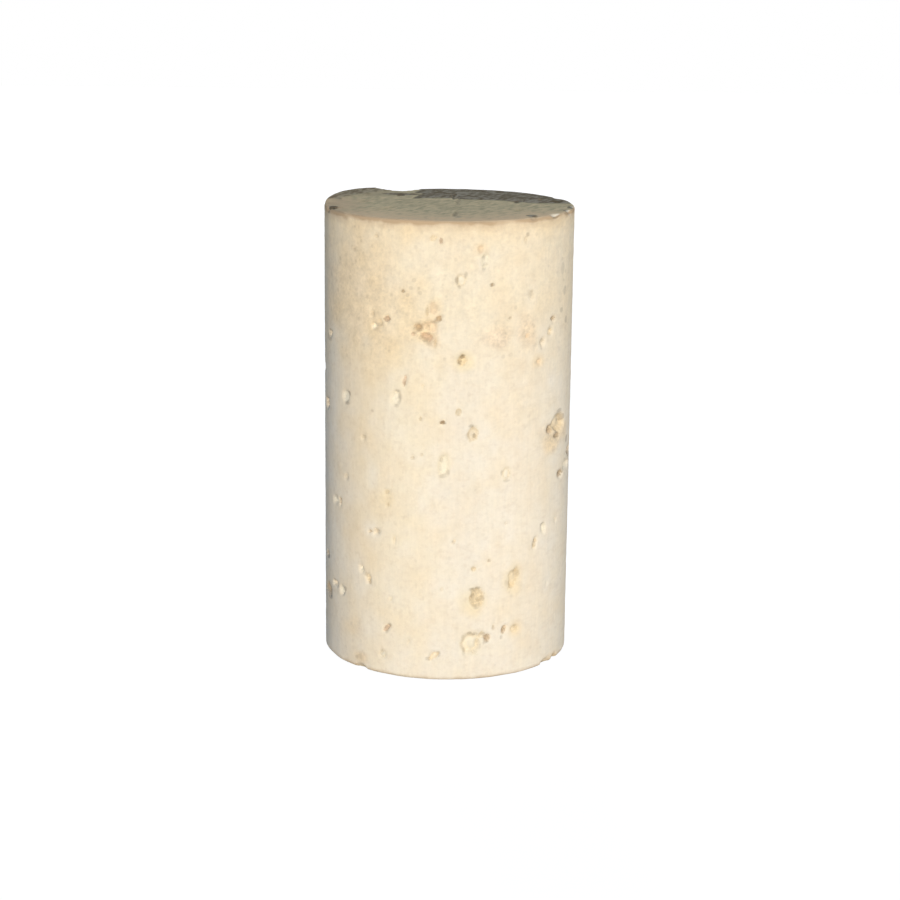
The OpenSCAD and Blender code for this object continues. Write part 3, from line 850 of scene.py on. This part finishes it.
def unrolled():
    """Map places of all face corners: turn and height for the side and the plan for the ends,
    times the scale that makes the way round the plug as wide as the map."""
    way = np.append(0, np.linalg.norm(np.diff(tube[0], axis=0), axis=1)).cumsum()
    round_it = np.arange(around + 1) * 2 * np.pi * plug_r / around
    gap = 2 * plug_r * map_margin
    parts = [corners(np.stack(np.meshgrid(round_it, way, indexing="ij"), -1))]
    for number, up in ((0, -1), (1, 1)):
        middle = np.array([plug_r * (1 + ends_apart * number), way[-1] + plug_r + gap])
        parts.append(end_corners(disc * plug_r + middle, up))
    places = np.concatenate([part.reshape(-1, 2) for part in parts])
    return map_margin + places * (1 - 2 * map_margin) / round_it[-1]


def make_mesh(name, points, faces):
    """A smooth mesh of four-sided faces, with its points given in mm."""
    mesh = bpy.data.meshes.new(name)
    mesh.vertices.add(len(points))
    mesh.vertices.foreach_set("co", (points * MM).astype(np.float32).ravel())
    mesh.loops.add(faces.size)
    mesh.loops.foreach_set("vertex_index", faces.astype(np.int32).ravel())
    mesh.polygons.add(len(faces))
    mesh.polygons.foreach_set("loop_start", np.arange(0, faces.size, 4, dtype=np.int32))
    mesh.polygons.foreach_set("use_smooth", np.ones(len(faces), bool))
    mesh.update(calc_edges=True)
    return mesh


mesh = make_mesh("cork", form, faces)
mesh.uv_layers.new(name="OFBake").uv.foreach_set("vector", unrolled().astype(np.float32).ravel())
for name, values in {**marks, **tones}.items():
    attribute = mesh.attributes.new(name, "FLOAT", "POINT")
    attribute.data.foreach_set("value", values.astype(np.float32))
cork = bpy.data.objects.new("cork", mesh)
bpy.context.scene.collection.objects.link(cork)
first, second, third, fourth = (form[faces[:, i]] for i in range(4))
volume = (first * (np.cross(second, third) + np.cross(third, fourth))).sum() / 6
print(f"{len(mesh.polygons)} faces round {volume:.0f} cubic mm")

# %% [markdown]
# ## Writing a finish as sums
# Nodes are clear for one step and a tangle for twenty. Here a Tone wraps a socket, and its
# operators add the Math nodes, so that a mask reads like a sum. A Finish holds one node tree and
# adds any other node by its type, its settings and its inputs.

# %% Writing a finish as sums
class Tone:
    """A number that changes over the surface: a socket whose operators add Math nodes."""

    def __init__(self, finish, socket):
        self.finish, self.socket = finish, socket

    def math(self, operation, first, second):
        """A Math node's result."""
        inputs = {0: first, 1: second}
        return self.finish.node("ShaderNodeMath", {"operation": operation}, inputs)

    def __add__(self, other):
        return self.math("ADD", self, other)

    def __sub__(self, other):
        return self.math("SUBTRACT", self, other)

    def __rsub__(self, other):
        return self.math("SUBTRACT", other, self)

    def __mul__(self, other):
        return self.math("MULTIPLY", self, other)

    __radd__, __rmul__ = __add__, __mul__

    def over(self, other):
        """The larger of the two."""
        return self.math("MAXIMUM", self, other)

    def ease(self, start, end):
        """0 up to start, 1 from end on and a smooth rise between."""
        settings = {"interpolation_type": "SMOOTHSTEP"}
        inputs = {"Value": self, "From Min": start, "From Max": end}
        return self.finish.node("ShaderNodeMapRange", settings, inputs)


class Finish:
    """A node tree of a material or a world. node() adds a node: settings first, then inputs."""

    def __init__(self, owner):
        owner.use_nodes = True
        self.owner, self.tree = owner, owner.node_tree
        self.tree.nodes.clear()

    def node(self, kind, settings=None, inputs=None, output=0):
        """One output of a new node. A Tone among its inputs is linked, and a value is set."""
        made = self.tree.nodes.new(kind)
        for name, value in (settings or {}).items():
            setattr(made, name, value)
        for name, value in (inputs or {}).items():
            if isinstance(value, Tone):
                self.tree.links.new(value.socket, made.inputs[name])
            else:
                made.inputs[name].default_value = value
        return Tone(self, made.outputs[output])

    def vector(self, operation, first, second, output=0):
        """Sums on places and colours, which a Math node would turn into one number."""
        inputs = {0: first, ("Scale" if operation == "SCALE" else 1): second}
        return self.node("ShaderNodeVectorMath", {"operation": operation}, inputs, output)

    def noise(self, place, size, seed, detail=2.0):
        """Noise from 0 to 1 whose lumps are about as wide as size, in mm."""
        inputs = {"Vector": place, "W": seed, "Scale": 1 / size, "Detail": detail,
                  "Roughness": 0.55}
        return self.node("ShaderNodeTexNoise", {"noise_dimensions": "4D"}, inputs)

    def specks(self, place, apart, seed):
        """The distance in mm to the nearest of many random points."""
        inputs = {"Vector": place, "W": seed, "Scale": 1 / apart}
        return self.node("ShaderNodeTexVoronoi", {"voronoi_dimensions": "4D"}, inputs) * apart

    def kept(self, name):
        """A number kept on the points of the mesh."""
        return self.node("ShaderNodeAttribute", {"attribute_name": name}, output="Fac")

    def mix(self, amount, first, second):
        """From the first colour to the second by the amount."""
        inputs = {0: amount, 6: first, 7: second}
        return self.node("ShaderNodeMix", {"data_type": "RGBA"}, inputs, 2)

    def end_in(self, shader, output="ShaderNodeOutputMaterial"):
        """Links the shader to the output and hands back the finished material or world."""
        made = self.tree.nodes.new(output)
        self.tree.links.new(shader.socket, made.inputs["Surface"])
        return self.owner


# %% [markdown]
# ## The finish of raw cork
# Fresh cork is cream, and warmer in clouds, because its growth bands are cut at every angle. On
# top come faint streaks along the plug, fine specks, and the dust in the pores. The colours are
# written as they are in plain daylight, and the masks only decide where each one shows. Raw cork
# is matt: the shader's Specular IOR Level is 0, and its Roughness wanders with the mottle.

# %% The finish of raw cork
cork_cream = (0.92, 0.83, 0.67, 1)
cork_tan = (0.82, 0.67, 0.48, 1)
cork_butter = (0.92, 0.79, 0.53, 1)
cork_rose = (0.90, 0.69, 0.41, 1)
cork_torn = (0.95, 0.88, 0.69, 1)
grain_brown = (0.28, 0.21, 0.13, 1)
dust_ochre = (0.84, 0.62, 0.32, 1)
dust_rust = (0.64, 0.43, 0.30, 1)
end_olive = (0.66, 0.53, 0.30, 1)
end_brown = (0.41, 0.345, 0.25, 1)
end_dark = (0.13, 0.10, 0.06, 1)
# the tan of the upper end's left edge, and a painted highlight towards the front lamp
tan_and_highlight = (0.95, 0.68, 0.40, 1)
# a darker tan for the left edge and the upper rim, and painted shade along the lower rim
rim_tan_and_shade = (0.56, 0.40, 0.24, 1)


def cork_ground(finish, place, grit):
    """The plain cork: cream that turns to tan, butter and rose by the kept strengths. Broad noise
    bends these hues, while fine noise and streaks only make the cork lighter or darker."""
    clouds = finish.noise(place, size=4.0, seed=1.0, detail=1.0)
    mottle = finish.noise(place, size=0.9, seed=2.0, detail=3.0)
    bent = clouds * 3.0 + finish.vector("DOT_PRODUCT", place, heading(bark_turn), "Value")
    layers = finish.node("ShaderNodeCombineXYZ", inputs={0: bent})
    bands = finish.noise(layers, size=0.9, seed=3.0)
    upright = finish.vector("MULTIPLY", place, (1, 1, 0.12))
    streaks = finish.noise(upright, size=0.3, seed=4.0)
    warm = finish.kept("warm")
    warmth = (warm + (clouds - 0.5) * 0.5 + (bands - 0.5) * 0.4
              + (mottle - 0.5) * (warm * 0.3 + 0.15))
    ground = finish.mix(warmth.ease(-0.3, 1.3), cork_cream, cork_tan)
    drifts = finish.noise(place, size=1.5, seed=5.0, detail=1.0)
    butter = finish.kept("butter") + (drifts - 0.5) * 0.5
    ground = finish.mix(butter, ground, cork_butter)
    blush = finish.noise(place, size=3.5, seed=10.0, detail=2.0)
    rosy = finish.kept("rosy") + (blush - 0.5) * 0.9
    ground = finish.mix(rosy, ground, cork_rose)
    from_dot = finish.specks(place, apart=0.8, seed=6.0)
    dots = (0.25 - from_dot).ease(0, 0.1) * clouds.ease(0.3, 0.7)
    ground = finish.mix(dots * (warm * 0.25 + 0.05), ground, grain_brown)
    cells = finish.noise(place, size=0.35, seed=11.0, detail=3.0)
    shade = (cells - 0.5) * 0.14 + (streaks - 0.5) * 0.12 + 1.0
    shade = shade + ((grit - 0.5) * 0.45 + (mottle - 0.5) * 0.6) * warm
    return finish.vector("SCALE", ground, shade), mottle


def end_ground(finish, place, ground):
    """The sawn ends: duller and greyer, brown where that is kept, and tan along the rims, whose
    line is broken. Their noise is drawn out along the bark's pores."""
    end = finish.kept("end")
    along = finish.vector("DOT_PRODUCT", place, heading(bark_turn), "Value") * 0.6
    drawn = finish.vector("SUBTRACT", place, finish.vector("SCALE", heading(bark_turn), along))
    patches = finish.noise(drawn, size=0.45, seed=12.0, detail=2.0)
    olive = finish.vector("SCALE", end_olive[:3], (patches - 0.5) * 1.3 + 1.0)
    dull = finish.mix(end * 0.9, ground, olive)
    # the lighter tan is a painted highlight towards the front lamp, and the tan of the left edge
    strip = finish.kept("strip") + (patches - 0.5) * 0.8
    dull = finish.mix(strip * end * 0.85, dull, tan_and_highlight)
    brown = finish.kept("brown")
    darker = (brown - 1.0).over(0.0) * 0.5
    brown_tone = finish.mix((patches + darker).ease(0.35, 0.65), end_brown, end_dark)
    brown = (brown + (patches - 0.5) * 0.8).ease(0.15, 0.8)
    browned = finish.mix(brown * end * 0.9, dull, brown_tone)
    browned = finish.mix(finish.kept("fresh") * 0.7, browned, cork_torn)
    broken = finish.noise(place, size=1.4, seed=13.0, detail=1.0) * 3.0 - 0.5
    # the darker tan along the rims; along the lower rim it is painted shade
    rim = finish.kept("rim") * broken + (patches - 0.5) * 0.6
    return finish.mix(rim * 1.1, browned, rim_tan_and_shade)


def pore_dust(finish, place, ground, grit):
    """The marks: the kept fields are bent by fine noise, then dust, specks and grains fill
    them, all with soft rims."""
    fine = finish.noise(place, size=0.14, seed=7.0)
    ragged = (fine - 0.5) * 0.5 + (grit - 0.5) * 0.5
    mouth = finish.kept("mouth") + ragged
    body = mouth.ease(-0.1, 0.3)
    heart = mouth.ease(0.35, 0.6)
    lined = body - body * heart * finish.kept("island")
    torn = finish.mix(body * finish.kept("pale") * 0.7, ground, cork_torn)
    ochre = lined * finish.kept("ochre") * (grit * 0.8 + 0.5)
    dusty = finish.mix(ochre, torn, dust_ochre)
    rust = lined * finish.kept("rust") * (grit * 0.8 + 0.5)
    dusty = finish.mix(rust, dusty, dust_rust)
    specks = (fine + grit * 0.5 - 0.7).ease(-0.1, 0.1) * lined * finish.kept("specks")
    specked = finish.mix(specks * 0.5, dusty, grain_brown)
    grain = (finish.kept("grain") + ragged * 0.2).ease(-0.08, 0.08)
    return finish.mix(grain * finish.kept("darkness") * 0.9, specked, grain_brown), fine


def raw_cork():
    """The whole finish: the ground, the ends, the dust, and a fine bump on a matt surface."""
    finish = Finish(bpy.data.materials.new("raw_cork"))
    place = finish.vector("SCALE", finish.node("ShaderNodeTexCoord", output="Object"), 1 / MM)
    grit = finish.noise(place, size=0.3, seed=8.0)
    ground, mottle = cork_ground(finish, place, grit)
    ground = end_ground(finish, place, ground)
    colour, fine = pore_dust(finish, place, ground, grit)
    height = mottle * 0.03 + fine * 0.02
    bump = finish.node("ShaderNodeBump", inputs={"Strength": 0.5, "Distance": MM,
                                                 "Height": height})
    inputs = {"Base Color": colour, "Roughness": 0.80 + mottle * 0.12,
              "Specular IOR Level": 0.0, "Normal": bump}
    return finish.end_in(finish.node("ShaderNodeBsdfPrincipled", inputs=inputs))


cork.data.materials.append(raw_cork())
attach(cork, "root")
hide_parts("stopper")
print("finish:", cork.data.materials[0].name)

# %% [markdown]
# ## The floor
# The floor is white because it is asked to look white. For the camera and for gloss it glows a
# little below full strength, and the lamps' light on it makes up the rest. Where the cork takes
# that light away, its shadow stays. The glow never reaches the cork as light.

# %% The floor
floor_side = 1400
floor_glow = 0.96
floor_grey = (0.12, 0.12, 0.12, 1)


def seen_directly(finish):
    """1 for rays from the camera, from gloss and through glass, and 0 for all other light."""
    names = ("Is Camera Ray", "Is Glossy Ray", "Is Transmission Ray")
    camera, gloss, glass = (finish.node("ShaderNodeLightPath", output=name) for name in names)
    return camera.over(gloss).over(glass)


def white_floor():
    """A grey that takes shadows, plus a glow that is seen but gives no light."""
    finish = Finish(bpy.data.materials.new("white_floor"))
    plain = finish.node("ShaderNodeBsdfDiffuse", inputs={"Color": floor_grey})
    glow = seen_directly(finish) * floor_glow
    glow = finish.node("ShaderNodeEmission", inputs={"Strength": glow})
    return finish.end_in(finish.node("ShaderNodeAddShader", inputs={0: plain, 1: glow}))


floor_corners = np.array([(-1, -1, 0), (1, -1, 0), (1, 1, 0), (-1, 1, 0)]) * floor_side / 2
floor = bpy.data.objects.new("floor", make_mesh("floor", floor_corners, np.arange(4)[None]))
floor.data.materials.append(white_floor())
bpy.context.scene.collection.objects.link(floor)
print("floor", floor_side, "mm wide")

# %% [markdown]
# ## The light
# One large soft lamp stands behind the camera, one at the right and one at the back. The first
# two are low, so the side is lit plainly and the upper end is only grazed. The one at the back
# stands a little higher and keeps that side as bright as the front. A lamp's power is worked out
# from the level that it should give on the cork: level times pi squared times distance squared.
# The world adds a weak light, which is dimmer and bluer from the left, so that the left edge
# turns cool in the shade.

# %% The light
lamp_far = 1000
lamp_side = 300
# turn, rise, level on the cork, colour
lamps = {
    "front": (-5, 7, 1.03, (1.0, 0.965, 0.925)),
    "right": (97, 7, 0.50, (0.92, 0.95, 1.0)),
    "back": (-170, 15, 0.97, (0.97, 0.99, 1.0)),
}
world_left = (0.01, 0.10, 0.25, 1)
world_right = (0.12, 0.16, 0.24, 1)

for name, (turn, rise, level, tint) in lamps.items():
    light = bpy.data.lights.new(name, "AREA")
    light.size = lamp_side * MM
    light.energy = level * np.pi**2 * (lamp_far * MM) ** 2
    light.color = tint
    lamp = bpy.data.objects.new(name, light)
    slope = np.radians(rise)
    away = Vector(heading(turn) * np.cos(slope) + [0, 0, np.sin(slope)])
    lamp.location = Vector((0, 0, plug_l / 2 * MM)) + away * lamp_far * MM
    lamp.rotation_euler = away.to_track_quat("Z", "Y").to_euler()
    bpy.context.scene.collection.objects.link(lamp)
    print(f"{name} lamp: {light.energy:.1f} W")


def studio_world():
    """A weak light that changes from left to right, behind a ground that is seen as white."""
    finish = Finish(bpy.data.worlds.new("studio"))
    towards = finish.node("ShaderNodeTexCoord")
    to_right = finish.node("ShaderNodeSeparateXYZ", inputs={0: towards}).ease(-0.5, 0.5)
    glow = finish.mix(to_right, world_left, world_right)
    ambient = finish.node("ShaderNodeBackground", inputs={"Color": glow})
    white = finish.node("ShaderNodeBackground", inputs={"Color": (1, 1, 1, 1)})
    inputs = {0: seen_directly(finish), 1: ambient, 2: white}
    return finish.end_in(finish.node("ShaderNodeMixShader", inputs=inputs),
                         "ShaderNodeOutputWorld")


bpy.context.scene.world = studio_world()

# %% [markdown]
# ## The camera
# The camera stands in front, a little above the cork, and looks slightly down on it, as held by
# hand: it is turned a hair to the side and rolled by half a degree. Three turns one after
# another set it up: the roll about its own axis, the tilt, and the turn about the upright.

# %% The camera
camera_away = 206.6
camera_up = 70.8
camera_down = 13.9
camera_turn = 0.08
camera_roll = 0.6
picture_side = 900
focal_length = 2159

view = bpy.data.cameras.new("camera")
view.lens = view.sensor_width * focal_length / picture_side
camera = bpy.data.objects.new("camera", view)
camera.location = Vector((0, -camera_away, camera_up)) * MM
upright, level_axis = (0, 0, 1), (1, 0, 0)
camera.rotation_euler = (
    Quaternion(upright, -np.radians(camera_turn))
    @ Quaternion(level_axis, np.radians(90 - camera_down))
    @ Quaternion(upright, np.radians(camera_roll))
).to_euler()
bpy.context.scene.collection.objects.link(camera)
bpy.context.scene.camera = camera
bpy.context.scene.view_settings.view_transform = "Standard"
print(f"lens {view.lens:.1f} mm")
